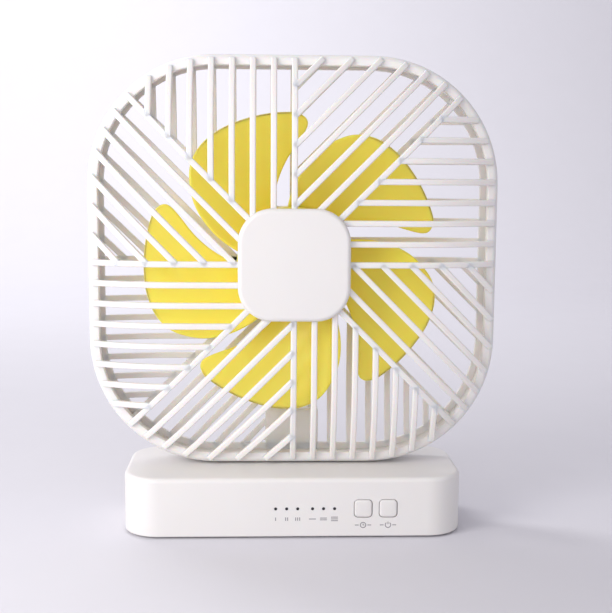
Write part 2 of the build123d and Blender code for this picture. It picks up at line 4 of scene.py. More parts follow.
import bmesh
import bpy
from bpy.props import FloatProperty, FloatVectorProperty, IntProperty, PointerProperty
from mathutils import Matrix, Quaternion, Vector


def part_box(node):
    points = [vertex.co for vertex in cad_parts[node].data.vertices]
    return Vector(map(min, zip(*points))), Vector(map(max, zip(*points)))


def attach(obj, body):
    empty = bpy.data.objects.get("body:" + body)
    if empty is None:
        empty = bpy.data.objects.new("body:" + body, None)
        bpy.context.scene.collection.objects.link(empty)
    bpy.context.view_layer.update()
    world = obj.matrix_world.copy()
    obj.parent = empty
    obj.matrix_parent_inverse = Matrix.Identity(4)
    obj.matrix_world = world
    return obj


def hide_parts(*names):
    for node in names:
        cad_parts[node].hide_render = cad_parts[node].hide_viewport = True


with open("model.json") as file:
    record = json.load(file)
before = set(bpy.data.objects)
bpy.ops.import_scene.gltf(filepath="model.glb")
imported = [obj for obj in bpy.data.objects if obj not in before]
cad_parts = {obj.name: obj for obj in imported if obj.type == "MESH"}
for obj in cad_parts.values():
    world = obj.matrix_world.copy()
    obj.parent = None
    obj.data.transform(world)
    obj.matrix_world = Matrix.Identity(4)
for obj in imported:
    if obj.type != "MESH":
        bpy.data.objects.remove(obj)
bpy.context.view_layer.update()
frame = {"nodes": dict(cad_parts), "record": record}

bl_info = {
    "name": "Rechargeable desk fan",
    "version": (1, 0, 0),
    "blender": (4, 5, 0),
    "location": "View3D > Sidebar > Desk fan",
    "description": "Builds the grilles, blades, marks and finishes of a square desk fan round its frame",
    "category": "Object",
}

MM = 0.001


def linear(code):
    """Linear colour from an sRGB hex code."""
    channels = [int(code[i:i + 2], 16) / 255 for i in (0, 2, 4)]
    return tuple(c / 12.92 if c <= 0.04045 else ((c + 0.055) / 1.055) ** 2.4 for c in channels)


# ---- Places read from the frame ----
FRAME_LOW, FRAME_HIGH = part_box("head_frame")
GRILLE_LOW, GRILLE_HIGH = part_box("front_grille")
SHELL_LOW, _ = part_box("base_shell")
TIMER_LOW, TIMER_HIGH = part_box("timer_button")
POWER_LOW, POWER_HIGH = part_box("power_button")

HEAD_HALF = (FRAME_HIGH.x - FRAME_LOW.x) / 2
# The hub's centre on the face of the front ribs; depths run back from here
HUB = Vector(((FRAME_LOW.x + FRAME_HIGH.x) / 2, GRILLE_LOW.y, (FRAME_LOW.z + FRAME_HIGH.z) / 2))
WALL_FRONT = FRAME_LOW.y - HUB.y
WALL_BACK = FRAME_HIGH.y - HUB.y
CORNER_CENTRE = 39 * MM  # centre of every corner arc of the head, from the hub on both axes
HUB_CORNER_CENTRE = 10.75 * MM  # the same for the hub plates
DOME_FLAT = 57 * MM  # half-width of the flat middle of both grilles
CONTROL_Z = (POWER_LOW.z + POWER_HIGH.z) / 2
SECTORS = 8
CORNER_STEPS = 20  # facets in each corner arc of the head
TIP_SCALE = 0.72  # size of the ring that rounds off a rib's end, against the rib
TIP_LENGTH = 0.12  # how far that ring stands out, against the rib's width
MERGE_DISTANCE = 1e-7
SHARP_ANGLE = math.radians(40)


def head_point(x, y, depth):
    """Point of the head: x right and y up from the hub, depth behind the front ribs' face."""
    return Vector((HUB.x + x, HUB.y + depth, HUB.z + y))


# ---- Sizes and colours a user would change ----


class FanSizes(bpy.types.PropertyGroup):
    rib_pitch: FloatProperty(
        name="Rib pitch", description="Distance between neighbouring ribs", default=10.25 * MM,
        unit="LENGTH",
    )
    rib_width: FloatProperty(
        name="Rib width", description="Width of each grille rib", default=3.0 * MM, unit="LENGTH"
    )
    rib_thickness: FloatProperty(
        name="Rib thickness", description="Front-to-back size of each rib", default=3.0 * MM,
        unit="LENGTH",
    )
    rib_edge: FloatProperty(
        name="Rib edge radius", description="Rounding of each rib's outer edges", default=0.75 * MM,
        unit="LENGTH",
    )
    blade_count: IntProperty(name="Blades", description="Number of fan blades", default=5, min=2)
    blade_thickness: FloatProperty(
        name="Blade thickness", description="Thickness of a blade away from its edges",
        default=1.6 * MM, unit="LENGTH",
    )


class FanColours(bpy.types.PropertyGroup):
    casing: FloatVectorProperty(
        name="Casing", description="Moulded ABS of the casing and base", subtype="COLOR",
        default=linear("E4E1DF"),
    )
    grille: FloatVectorProperty(
        name="Grille", description="Moulded ABS of the grilles", subtype="COLOR",
        default=linear("E7E4E2"),
    )
    blades: FloatVectorProperty(
        name="Blades", description="Moulded polypropylene of the blades", subtype="COLOR",
        default=linear("FFE95C"),
    )
    print_ink: FloatVectorProperty(
        name="Print", description="Pad-printed marks beside the controls", subtype="COLOR",
        default=linear("8F8C90"),
    )


class StageLook(bpy.types.PropertyGroup):
    floor: FloatVectorProperty(
        name="Floor", description="Colour of the floor and its sweep", subtype="COLOR",
        default=linear("D9D7DD"),
    )
    key_power: FloatProperty(name="Key light", description="Power of the key light in watts", default=2.9)
    fill_power: FloatProperty(name="Fill light", description="Power of the fill light in watts", default=1.9)
    wash_power: FloatProperty(
        name="Backdrop light", description="Power of the light on the backdrop in watts", default=17.0
    )
    sky: FloatProperty(name="Room light", description="Strength of the even room light", default=0.62)


# ---- Mesh helpers ----


def bridge(bm, rings, closed=False):
    """Quads between rings of equally many corners, in order."""
    pairs = list(zip(rings, rings[1:]))
    if closed:
        pairs.append((rings[-1], rings[0]))
    for ring, following in pairs:
        count = len(ring)
        for i in range(count):
            j = (i + 1) % count
            bm.faces.new((ring[i], ring[j], following[j], following[i]))


def rounded_section(wide, deep, edge, back_edge, steps=4):
    """Outline of a bar's section, centred across, from depth 0 to deep, as (across, depth) pairs."""
    corners = [
        (wide / 2 - edge, edge, edge, -90),
        (wide / 2 - back_edge, deep - back_edge, back_edge, 0),
        (back_edge - wide / 2, deep - back_edge, back_edge, 90),
        (edge - wide / 2, edge, edge, 180),
    ]
    outline = []
    for x, y, radius, start in corners:
        for k in range(steps + 1):
            turn = math.radians(start + 90 * k / steps)
            outline.append((x + radius * math.cos(turn), y + radius * math.sin(turn)))
    return outline


def sweep_bar(bm, path, section, wide):
    """A rib: the section carried along a path of (x, y, depth) points straight in the head's plane."""
    (x0, y0, _), (x1, y1, _) = path[0], path[-1]
    run = math.hypot(x1 - x0, y1 - y0)
    along = ((x1 - x0) / run, (y1 - y0) / run)
    side = (-along[1], along[0])
    rings = []
    for x, y, depth in path:
        rings.append([
            bm.verts.new(head_point(x + side[0] * a, y + side[1] * a, depth + d)) for a, d in section
        ])
    # Each end is rounded off by one smaller ring just beyond it
    deep = max(d for _, d in section)
    for ring, sign in ((rings[0], -1), (rings[-1], 1)):
        x, y, depth = path[0] if sign < 0 else path[-1]
        tip = []
        for a, d in section:
            a, d = a * TIP_SCALE, deep / 2 + (d - deep / 2) * TIP_SCALE
            shift = sign * wide * TIP_LENGTH
            tip.append(bm.verts.new(head_point(
                x + along[0] * shift + side[0] * a, y + along[1] * shift + side[1] * a, depth + d
            )))
        bridge(bm, [ring, tip])
        bm.faces.new(tip)
    bridge(bm, rings)


def squircle_ring(bm, half, depth, centre=CORNER_CENTRE):
    """Corners of the head's rounded-square outline at one size and depth."""
    radius = half - centre
    ring = []
    for corner in range(4):
        turn = math.radians(90 * corner + 45)
        middle = (centre * math.sqrt(2) * math.cos(turn), centre * math.sqrt(2) * math.sin(turn))
        for k in range(CORNER_STEPS + 1):
            angle = math.radians(90 * corner + 90 * k / CORNER_STEPS)
            x, y = middle[0] + radius * math.cos(angle), middle[1] + radius * math.sin(angle)
            ring.append(bm.verts.new(head_point(x, y, depth)))
    return ring


def squircle_loop(bm, section, centre=CORNER_CENTRE):
    """A closed section of (half, depth) points carried round the rounded square."""
    bridge(bm, [squircle_ring(bm, half, depth, centre) for half, depth in section], closed=True)


def squircle_plate(bm, section, centre):
    """A plate whose edge follows an open section of (half, depth) points, closed front and back."""
    rings = [squircle_ring(bm, half, depth, centre) for half, depth in section]
    bridge(bm, rings)
    bm.faces.new(rings[0])
    bm.faces.new(rings[-1])


def lathe(bm, section, steps=72, x=0.0, y=0.0):
    """A closed section of (radius, depth) points turned round an axis of the head."""
    rings = []
    for radius, depth in section:
        rings.append([
            bm.verts.new(head_point(
                x + radius * math.cos(2 * math.pi * k / steps),
                y + radius * math.sin(2 * math.pi * k / steps), depth,
            ))
            for k in range(steps)
        ])
    bridge(bm, rings, closed=True)


def box_section(inner, outer, front, back, edge):
    """Rounded rectangle between two radii or half-widths and two depths."""
    middle = (inner + outer) / 2
    return [(middle + a, front + d) for a, d in rounded_section(outer - inner, back - front, edge, edge)]


def finish_mesh(bm, name, material, body, slot, *replaced):
    """Turn a bmesh into a finished piece on its body."""
    bmesh.ops.remove_doubles(bm, verts=bm.verts, dist=MERGE_DISTANCE)
    bmesh.ops.recalc_face_normals(bm, faces=bm.faces)
    for face in bm.faces:
        face.smooth = True
    mesh = bpy.data.meshes.new(name)
    bm.to_mesh(mesh)
    bm.free()
    mesh.set_sharp_from_angle(angle=SHARP_ANGLE)
    mesh.materials.append(material)
    piece = bpy.data.objects.new(name, mesh)
    bpy.context.scene.collection.objects.link(piece)
    weights = piece.modifiers.new("Even shading", "WEIGHTED_NORMAL")
    weights.keep_sharp = True
    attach(piece, body)
    if replaced:
        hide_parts(*replaced)
    return piece


# ---- Grille geometry ----
STRAIGHT_RIBS = 7  # in each sector beside an upright or level spoke, besides the spoke
DIAGONAL_RIBS = 6
RIB_STEP = 3 * MM  # distance between the rings that bend a rib along the dome
HOLLOW_EDGE = 0.4 * MM  # rounding of the ribs' hidden edges
FRONT_FALL = 11.8 * MM  # how far the dome has fallen where the ribs end
FRONT_REACH = 101 * MM  # half-size at which the ribs end
REAR_FALL = 6.0 * MM
REAR_REACH = 98.5 * MM
REAR_FACE = 37.5 * MM  # depth of the rear ribs' inner face at the hub
FRONT_RIM_FACE = 13.0 * MM
REAR_RIM_DEPTH = 3 * MM
RIM_INNER = 97.6 * MM
REAR_RIM_INNER = 97.3 * MM
FRONT_RIM_EDGE = 3.0 * MM
REAR_RIM_EDGE = 2.0 * MM
INNER_RIM_EDGE = 0.6 * MM
LIP = (98.9 * MM, 100.4 * MM)  # tongue of the front rim inside the wall
LIP_OVERLAP = 0.5 * MM
LIP_EDGE = 0.3 * MM
FRONT_PLATE_HALF = 26 * MM
FRONT_PLATE = (0.02 * MM, 3 * MM)  # front and back of the plate under the cap
REAR_PLATE_HALF = 27.75 * MM
PLATE_EDGE = 0.5 * MM
SOCKET = (12.25 * MM, 14.4 * MM)  # inner and outer radius of the motor's socket
SOCKET_FRONT = 27.5 * MM
PAD_FRONT_OVERLAP = 0.1 * MM
PAD_FOOT = 0.4 * MM
PAD_BACK = 38 * MM
PAD_EDGE = 0.8 * MM


def half_at(x, y):
    """Half-size of the rounded square through a point."""
    beyond = math.hypot(max(abs(x) - CORNER_CENTRE, 0), max(abs(y) - CORNER_CENTRE, 0))
    return CORNER_CENTRE + beyond


def dome_fall(half, fall, reach):
    """How far the dome has fallen at a half-size: nothing in the middle, then an arc."""
    span = reach - DOME_FLAT
    radius = (span**2 + fall**2) / (2 * fall)
    out = min(max(half - DOME_FLAT, 0), radius)
    return radius - math.sqrt(radius**2 - out**2)


def rib_paths(pitch, reach):
    """Start and end of every rib: in each sector they run parallel to one spoke, from the next one out."""
    for sector in range(SECTORS):
        turn = math.radians(sector * 360 / SECTORS)
        along, across = (math.cos(turn), math.sin(turn)), (-math.sin(turn), math.cos(turn))
        for n in range((DIAGONAL_RIBS if sector % 2 else STRAIGHT_RIBS) + 1):
            offset = n * pitch

            def place(run):
                return tuple(along[i] * run + across[i] * offset for i in (0, 1))

            low, high = offset, 2 * reach
            while high - low > 1e-6:
                middle = (low + high) / 2
                low, high = (middle, high) if half_at(*place(middle)) < reach else (low, middle)
            yield place(offset), place(low)


def grille_ribs(bm, sizes, reach, depth_at, front_edge, back_edge):
    """All ribs of one grille, each following the dome."""
    section = rounded_section(sizes.rib_width, sizes.rib_thickness, front_edge, back_edge)
    for start, end in rib_paths(sizes.rib_pitch, reach):
        run = math.dist(start, end)
        count = max(int(run / RIB_STEP), 2)
        path = []
        for k in range(count + 1):
            share = k / count
            x, y = (start[i] + (end[i] - start[i]) * share for i in (0, 1))
            path.append((x, y, depth_at(half_at(x, y))))
        sweep_bar(bm, path, section, sizes.rib_width)


def rim_section(inner, face, wall, edge, steps=6):
    """Grille rim from its visible face back to the casing's wall, rounded along its outer edge."""
    toward = 1 if wall > face else -1
    section = [(inner, wall)]
    for k in range(steps + 1):
        turn = math.pi / 2 * k / steps
        section.append((
            inner + INNER_RIM_EDGE * (1 - math.cos(turn)),
            face + toward * INNER_RIM_EDGE * (1 - math.sin(turn)),
        ))
    for k in range(steps + 1):
        turn = math.pi / 2 * k / steps
        section.append((
            HEAD_HALF - edge * (1 - math.sin(turn)), face + toward * edge * (1 - math.cos(turn))
        ))
    section.append((HEAD_HALF, wall))
    return section


class DESKFAN_OT_front_grille(bpy.types.Operator):
    """Front grille: domed ribs with rounded edges, the rim they run on to and the hub plate"""

    bl_idname = "deskfan.front_grille"
    bl_label = "Front grille"

    def execute(self, context):
        sizes = context.scene.fan_sizes
        bm = bmesh.new()
        grille_ribs(
            bm, sizes, FRONT_REACH, lambda half: dome_fall(half, FRONT_FALL, FRONT_REACH),
            sizes.rib_edge, HOLLOW_EDGE,
        )
        squircle_loop(bm, rim_section(RIM_INNER, FRONT_RIM_FACE, WALL_FRONT, FRONT_RIM_EDGE))
        squircle_loop(bm, box_section(*LIP, WALL_FRONT - LIP_OVERLAP, GRILLE_HIGH.y - HUB.y, LIP_EDGE))
        front, back = FRONT_PLATE
        plate = [
            (FRONT_PLATE_HALF - PLATE_EDGE, front), (FRONT_PLATE_HALF, PLATE_EDGE),
            (FRONT_PLATE_HALF, back - PLATE_EDGE), (FRONT_PLATE_HALF - PLATE_EDGE, back),
        ]
        squircle_plate(bm, plate, HUB_CORNER_CENTRE)
        finish_mesh(
            bm, "front_grille_moulding", finish("grille_abs"), "head", "grille_plastic", "front_grille"
        )
        return {"FINISHED"}


class DESKFAN_OT_rear_grille(bpy.types.Operator):
    """Rear grille: the same ribs domed backwards, its rim, motor socket and hinge pad"""

    bl_idname = "deskfan.rear_grille"
    bl_label = "Rear grille"

    def execute(self, context):
        sizes = context.scene.fan_sizes
        bm = bmesh.new()
        grille_ribs(
            bm, sizes, REAR_REACH, lambda half: REAR_FACE - dome_fall(half, REAR_FALL, REAR_REACH),
            HOLLOW_EDGE, sizes.rib_edge,
        )
        outer = rim_section(REAR_RIM_INNER, WALL_BACK + REAR_RIM_DEPTH, WALL_BACK, REAR_RIM_EDGE)
        squircle_loop(bm, outer)
        half, back = REAR_PLATE_HALF, REAR_FACE + sizes.rib_thickness
        plate = [
            (half - PLATE_EDGE, REAR_FACE), (half, REAR_FACE + PLATE_EDGE), (half, back - PLATE_EDGE),
            (half - PLATE_EDGE, back),
        ]
        squircle_plate(bm, plate, HUB_CORNER_CENTRE)
        lathe(bm, box_section(*SOCKET, SOCKET_FRONT, back, HOLLOW_EDGE))
        self.hinge_pad(bm)
        finish_mesh(
            bm, "rear_grille_moulding", finish("grille_abs"), "head", "grille_plastic", "rear_grille"
        )
        return {"FINISHED"}

    def hinge_pad(self, bm):
        """Solid block over the lowest ribs that the hinge leaf is screwed to."""
        leaf_low, leaf_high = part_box("hinge_bracket")
        low = Vector((leaf_low.x, FRAME_HIGH.y - PAD_FRONT_OVERLAP, FRAME_LOW.z + PAD_FOOT))
        high = Vector((leaf_high.x, HUB.y + PAD_BACK, leaf_high.z))
        made = bmesh.ops.create_cube(bm, size=1.0)
        for vert in made["verts"]:
            for axis in range(3):
                vert.co[axis] = (low[axis] + high[axis]) / 2 + vert.co[axis] * (high[axis] - low[axis])
        edges = {edge for vert in made["verts"] for edge in vert.link_edges}
        bmesh.ops.bevel(bm, geom=list(edges), offset=PAD_EDGE, segments=3, affect="EDGES", profile=0.5)


# ---- Blades ----
# Edge points as (radius in mm, degrees clockwise from the blade's own upright line)
LEADING_EDGE = [(27, -21.5), (40, -12), (51.3, -4), (60.8, 2.5), (68.5, 5.8), (73, 5), (75.7, 1)]
TRAILING_EDGE = [(27, -79), (43.7, -69), (57, -60), (65.6, -52.5), (71.5, -46), (75, -38), (76.2, -29)]
TRAIL_TURN = (-76.0, 0.62)  # trailing edge: angle at 30 mm radius, and degrees per mm beyond
LEAD_TURN = (-19.0, 0.70)
BLADE_FRONT = 11.0  # depth of the trailing edge, in mm
BLADE_RISE = 15.0  # how much deeper the leading edge lies
CAMBER = 1.8  # bulge of the blade's middle, in mm
EDGE_TURNS = 6  # facets round a blade's edge


def spline_through(points, share):
    """Point at a share of the way along a smooth line through (radius, angle) points."""
    place = share * (len(points) - 1)
    i = min(int(place), len(points) - 2)
    t = place - i
    p0, p1, p2, p3 = (points[min(max(i + k, 0), len(points) - 1)] for k in (-1, 0, 1, 2))
    return tuple(
        0.5 * (2 * b + (c - a) * t + (2 * a - 5 * b + 4 * c - d) * t**2 + (3 * b - a - 3 * c + d) * t**3)
        for a, b, c, d in zip(p0, p1, p2, p3)
    )


def blade_middle(out, over):
    """Middle surface of a blade: out from root to tip, over from trailing to leading edge."""
    r0, turn0 = spline_through(TRAILING_EDGE, out)
    r1, turn1 = spline_through(LEADING_EDGE, out)
    radius, turn = r0 + (r1 - r0) * over, turn0 + (turn1 - turn0) * over
    trail = TRAIL_TURN[0] + TRAIL_TURN[1] * (radius - 30)
    lead = LEAD_TURN[0] + LEAD_TURN[1] * (radius - 30)
    share = (turn - trail) / (lead - trail)
    depth = BLADE_FRONT + BLADE_RISE * share + 4 * CAMBER * share * (1 - share)
    angle = math.radians(turn)
    return Vector((radius * math.sin(angle), radius * math.cos(angle), depth)) * MM


def blade(bm, turn, thickness, outs=44, overs=40):
    """One blade: two skins over its middle surface, joined by a half-round edge."""
    spin = math.radians(turn)
    grid = [[blade_middle(i / outs, j / overs) for j in range(overs + 1)] for i in range(outs + 1)]

    def normal(i, j):
        ahead = grid[min(i + 1, outs)][j] - grid[max(i - 1, 0)][j]
        beside = grid[i][min(j + 1, overs)] - grid[i][max(j - 1, 0)]
        return ahead.cross(beside).normalized()

    def place(p):
        x = p.x * math.cos(spin) + p.y * math.sin(spin)
        y = p.y * math.cos(spin) - p.x * math.sin(spin)
        return bm.verts.new(head_point(x, y, p.z + thickness / 2))

    border = [(i, 0) for i in range(outs)] + [(outs, j) for j in range(overs)]
    border += [(i, overs) for i in range(outs, -1, -1)]
    strips = {}
    for k, (i, j) in enumerate(border):
        before, after = border[max(k - 1, 0)], border[min(k + 1, len(border) - 1)]
        along = (grid[after[0]][after[1]] - grid[before[0]][before[1]]).normalized()
        up = normal(i, j)
        outward = along.cross(up).normalized()
        if outward.dot(grid[i][j] - grid[outs // 2][overs // 2]) < 0:
            outward = -outward
        middle = grid[i][j] - outward * thickness / 2
        strips[i, j] = [
            place(middle + (outward * math.cos(a) + up * math.sin(a)) * thickness / 2)
            for a in (math.pi * (n / EDGE_TURNS - 0.5) for n in range(EDGE_TURNS + 1))
        ]
    skins = []
    for side, end in ((-1, 0), (1, EDGE_TURNS)):
        skins.append([
            [
                strips[i, j][end] if (i, j) in strips
                else place(grid[i][j] + normal(i, j) * side * thickness / 2)
                for j in range(overs + 1)
            ]
            for i in range(outs + 1)
        ])
    for skin in skins:
        for row, following in zip(skin, skin[1:]):
            for j in range(overs):
                bm.faces.new((row[j], row[j + 1], following[j + 1], following[j]))
    for here, there in zip(border, border[1:]):
        for n in range(EDGE_TURNS):
            bm.faces.new((strips[here][n], strips[here][n + 1], strips[there][n + 1], strips[there][n]))
    ends = (strips[0, 0], strips[0, overs])
    root = [*skins[0][0], *ends[1][1:-1], *reversed(skins[1][0]), *reversed(ends[0][1:-1])]
    bm.faces.new(root)


class DESKFAN_OT_fan_blades(bpy.types.Operator):
    """Fan wheel: the hub cup and its swept blades with rounded edges"""

    bl_idname = "deskfan.fan_blades"
    bl_label = "Fan blades"

    def execute(self, context):
        sizes = context.scene.fan_sizes
        bm = bmesh.new()
        hub_r, wall, front, back = 28.5 * MM, 2.5 * MM, 6 * MM, 28.5 * MM
        corner, edge = 1.8 * MM, 0.4 * MM
        bore, boss, boss_back = 1.05 * MM, 4 * MM, 13 * MM
        nose = [
            (hub_r - corner + corner * math.sin(a), front + corner - corner * math.cos(a))
            for a in (math.pi / 2 * k / 6 for k in range(7))
        ]
        cup = [
            (bore, front), *nose, (hub_r, back - edge), (hub_r - edge, back),
            (hub_r - wall + edge, back), (hub_r - wall, back - edge), (hub_r - wall, front + wall),
            (boss, front + wall), (boss, boss_back - edge), (boss - edge, boss_back), (bore, boss_back),
        ]
        lathe(bm, cup, steps=96)
        for n in range(sizes.blade_count):
            blade(bm, 360 / sizes.blade_count * n, sizes.blade_thickness)
        finish_mesh(
            bm, "fan_wheel_moulding", finish("blade_pp"), "rotor", "blade_plastic", "fan_blades"
        )
        return {"FINISHED"}


# ---- Keys ----
KEY_SIZE = 8.7 * MM
KEY_CORNER = 1.9 * MM
KEY_EDGE = 0.8 * MM
KEY_CROWN = 0.15 * MM  # how far the middle of a key stands out from its edge
FLANGE_THICKNESS = 1.0 * MM  # flange that keeps the key behind the front wall
FLANGE_CORNER = 2.6 * MM
KEY_STEPS = 8  # facets in each corner of a key
EDGE_STEPS = 6  # facets round a key's front edge


def key_ring(bm, middle, half, corner, y):
    """Rounded-square outline of a key at one depth."""
    ring = []
    for turn, sx, sz in ((0, 1, 1), (90, -1, 1), (180, -1, -1), (270, 1, -1)):
        for k in range(KEY_STEPS + 1):
            angle = math.radians(turn + 90 * k / KEY_STEPS)
            x = middle.x + sx * (half - corner) + corner * math.cos(angle)
            z = middle.z + sz * (half - corner) + corner * math.sin(angle)
            ring.append(bm.verts.new((x, y, z)))
    return ring


class DESKFAN_OT_keys(bpy.types.Operator):
    """The two push keys, with softly rounded edges and a slightly crowned face"""

    bl_idname = "deskfan.keys"
    bl_label = "Keys"

    def execute(self, context):
        for node, body in (("timer_button", "timer_key"), ("power_button", "power_key")):
            low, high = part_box(node)
            middle, flange = (low + high) / 2, (high.x - low.x) / 2
            half, front = KEY_SIZE / 2, high.y - FLANGE_THICKNESS
            bm = bmesh.new()
            rings = [
                key_ring(bm, middle, flange, FLANGE_CORNER, high.y),
                key_ring(bm, middle, flange, FLANGE_CORNER, front),
                key_ring(bm, middle, half, KEY_CORNER, front),
            ]
            for k in range(EDGE_STEPS + 1):
                turn = math.pi / 2 * k / EDGE_STEPS
                inset, depth = KEY_EDGE * (1 - math.cos(turn)), KEY_EDGE * (1 - math.sin(turn))
                y = low.y + KEY_CROWN + depth
                rings.append(key_ring(bm, middle, half - inset, KEY_CORNER - inset, y))
            for share in (0.35, 0.55, 0.8):
                size = half * (1 - share)
                y = low.y + KEY_CROWN * (1 - share) ** 2
                rings.append(key_ring(bm, middle, size, KEY_CORNER * (1 - share) / 2, y))
            bridge(bm, rings)
            bm.faces.new(rings[0])
            bm.faces.new(rings[-1])
            finish_mesh(bm, node + "_moulding", finish("key_abs"), body, "key_plastic", node)
        return {"FINISHED"}


# ---- Printed marks ----
MARK_PROUD = 0.04 * MM
MARK_STROKE = 0.42 * MM
LIGHT_MARK_DROP = 5.2 * MM  # middle of the marks below the lights
KEY_MARK_DROP = 8.4 * MM
COUNT_BAR = 1.7 * MM  # height of the upright bars that count up
COUNT_PITCH = 1.0 * MM
LEVEL_BAR = 3.4 * MM  # width of the level bars
LEVEL_PITCH = 0.9 * MM
KEY_RING = 1.35 * MM
HAND_STROKE = MARK_STROKE * 0.8
SIDE_DASH = 1.9 * MM
SIDE_DASH_PLACE = 3.1 * MM  # from the middle of a key


def light_places():
    """Centres of the status lights, read from the board's lights behind them."""
    verts = frame["nodes"]["status_leds"].data.vertices
    columns = sorted({round(v.co.x, 4) for v in verts})
    return [(a + b) / 2 for a, b in zip(columns[::2], columns[1::2])]


def mark_bar(bm, x, z, wide, high):
    """Small printed bar on the base's front face."""
    made = bmesh.ops.create_cube(bm, size=1.0)
    size, centre = Vector((wide, 2 * MARK_PROUD, high)), Vector((x, SHELL_LOW.y, z))
    for vert in made["verts"]:
        vert.co = centre + Vector(vert.co[i] * size[i] for i in range(3))


def mark_arc(bm, x, z, radius, start, end, steps=28):
    """Part of a printed ring; angles run anticlockwise from the right as seen from the front."""
    rings = []
    for k in range(steps + 1):
        turn = math.radians(start + (end - start) * k / steps)
        rings.append([
            bm.verts.new((x + r * math.cos(turn), SHELL_LOW.y + y, z + r * math.sin(turn)))
            for r, y in (
                (radius - MARK_STROKE / 2, -MARK_PROUD), (radius + MARK_STROKE / 2, -MARK_PROUD),
                (radius + MARK_STROKE / 2, MARK_PROUD), (radius - MARK_STROKE / 2, MARK_PROUD),
            )
        ])
    bridge(bm, rings)
    bm.faces.new(rings[0])
    bm.faces.new(rings[-1])


class DESKFAN_OT_printed_marks(bpy.types.Operator):
    """Pad-printed pictograms under the lights and the buttons"""

    bl_idname = "deskfan.printed_marks"
    bl_label = "Printed marks"

    def execute(self, context):
        bm = bmesh.new()
        lights = light_places()
        z = CONTROL_Z - LIGHT_MARK_DROP
        for step, x in enumerate(lights[:3]):
            for k in range(step + 1):
                mark_bar(bm, x + (k - step / 2) * COUNT_PITCH, z, MARK_STROKE, COUNT_BAR)
        for step, x in enumerate(lights[3:]):
            for k in range(step + 1):
                mark_bar(bm, x, z + (k - step / 2) * LEVEL_PITCH, LEVEL_BAR, MARK_STROKE)
        timer_x = (TIMER_LOW.x + TIMER_HIGH.x) / 2
        power_x = (POWER_LOW.x + POWER_HIGH.x) / 2
        z = CONTROL_Z - KEY_MARK_DROP
        mark_arc(bm, timer_x, z, KEY_RING, 0, 360)
        mark_bar(bm, timer_x, z + 0.35 * MM, HAND_STROKE, 0.9 * MM)
        mark_bar(bm, timer_x + 0.3 * MM, z, 0.75 * MM, HAND_STROKE)
        mark_arc(bm, power_x, z, KEY_RING, 125, 415)
        mark_bar(bm, power_x, z + 1.0 * MM, MARK_STROKE, 1.3 * MM)
        for x in (timer_x, power_x):
            for side in (-1, 1):
                mark_bar(bm, x + side * SIDE_DASH_PLACE, z, SIDE_DASH, MARK_STROKE)
        finish_mesh(bm, "printed_marks", finish("pad_print"), "base", "key_plastic")
        return {"FINISHED"}


# ---- Materials ----
FLOW_MARK = 38 * MM  # size of the faint colour drift in a moulding
HANDLING_MARK = 9 * MM  # size of patches of slightly different gloss
SINK_WAVE = 26 * MM  # size of shallow sink waves
METAL_STAIN = 6 * MM
SCATTER = (3.2 * MM, 1.8 * MM, 1.0 * MM)  # how far red, green and blue light travels in white plastic


def add(tree, kind, settings=(), links=()):
    """Add a node, set its properties or inputs by name, and link (output, input) pairs into it."""
    node = tree.nodes.new(kind)
    for key, value in dict(settings).items():
        if hasattr(node, key):
            setattr(node, key, value)
        else:
            node.inputs[key].default_value = value
    for output, name in links:
        tree.links.new(output, node.inputs[name])
    return node


def set_ramp(ramp, low, high):
    """Colours of a two-stop ramp, set where noise has most of its values."""
    for stop, place, colour in zip(ramp.color_ramp.elements, (0.3, 0.7), (low, high)):
        stop.position = place
        stop.color = (*colour, 1.0)


def shader(name):
    """Empty node material with its output and object coordinates, which are the frame's own metres."""
    material = bpy.data.materials.new(name)
    material.use_nodes = True
    tree = material.node_tree
    tree.nodes.clear()
    output = add(tree, "ShaderNodeOutputMaterial")
    place = add(tree, "ShaderNodeTexCoord").outputs["Object"]
    return material, tree, output, place


def shade(colour, factor):
    return tuple(min(c * factor, 1.0) for c in colour)


def moulded(name, colour, ior, rough, grain, grain_depth, drift=0.985, subsurface=0.0, coat=0.0):
    """Moulded plastic: even colour with faint flow marks, a fine tool texture and slight sink waves."""
    material, tree, output, place = shader(name)
    flow = add(tree, "ShaderNodeTexNoise", {"Scale": 1 / FLOW_MARK, "Detail": 2.0}, [(place, "Vector")])
    tint = add(tree, "ShaderNodeValToRGB", links=[(flow.outputs["Fac"], "Fac")])
    set_ramp(tint, shade(colour, drift), colour)
    handling = add(
        tree, "ShaderNodeTexNoise", {"Scale": 1 / HANDLING_MARK, "Detail": 4.0, "Roughness": 0.6},
        [(place, "Vector")],
    )
    gloss = add(
        tree, "ShaderNodeMapRange", {"To Min": rough - 0.05, "To Max": rough + 0.06},
        [(handling.outputs["Fac"], "Value")],
    )
    waves = add(tree, "ShaderNodeTexNoise", {"Scale": 1 / SINK_WAVE, "Detail": 1.0}, [(place, "Vector")])
    ripple = add(
        tree, "ShaderNodeBump", {"Strength": 0.06, "Distance": 0.25 * MM}, [(waves.outputs["Fac"], "Height")]
    )
    texture = add(tree, "ShaderNodeTexNoise", {"Scale": 1 / grain, "Detail": 2.0}, [(place, "Vector")])
    relief = add(
        tree, "ShaderNodeBump", {"Strength": 0.35, "Distance": grain_depth},
        [(texture.outputs["Fac"], "Height"), (ripple.outputs["Normal"], "Normal")],
    )
    surface = add(
        tree, "ShaderNodeBsdfPrincipled",
        {"IOR": ior, "Subsurface Weight": subsurface, "Subsurface Radius": SCATTER,
         "Subsurface Scale": 1.0, "Coat Weight": coat, "Coat Roughness": 0.25},
        [(tint.outputs["Color"], "Base Color"), (gloss.outputs["Result"], "Roughness"),
         (relief.outputs["Normal"], "Normal")],
    )
    tree.links.new(surface.outputs["BSDF"], output.inputs["Surface"])
    return material


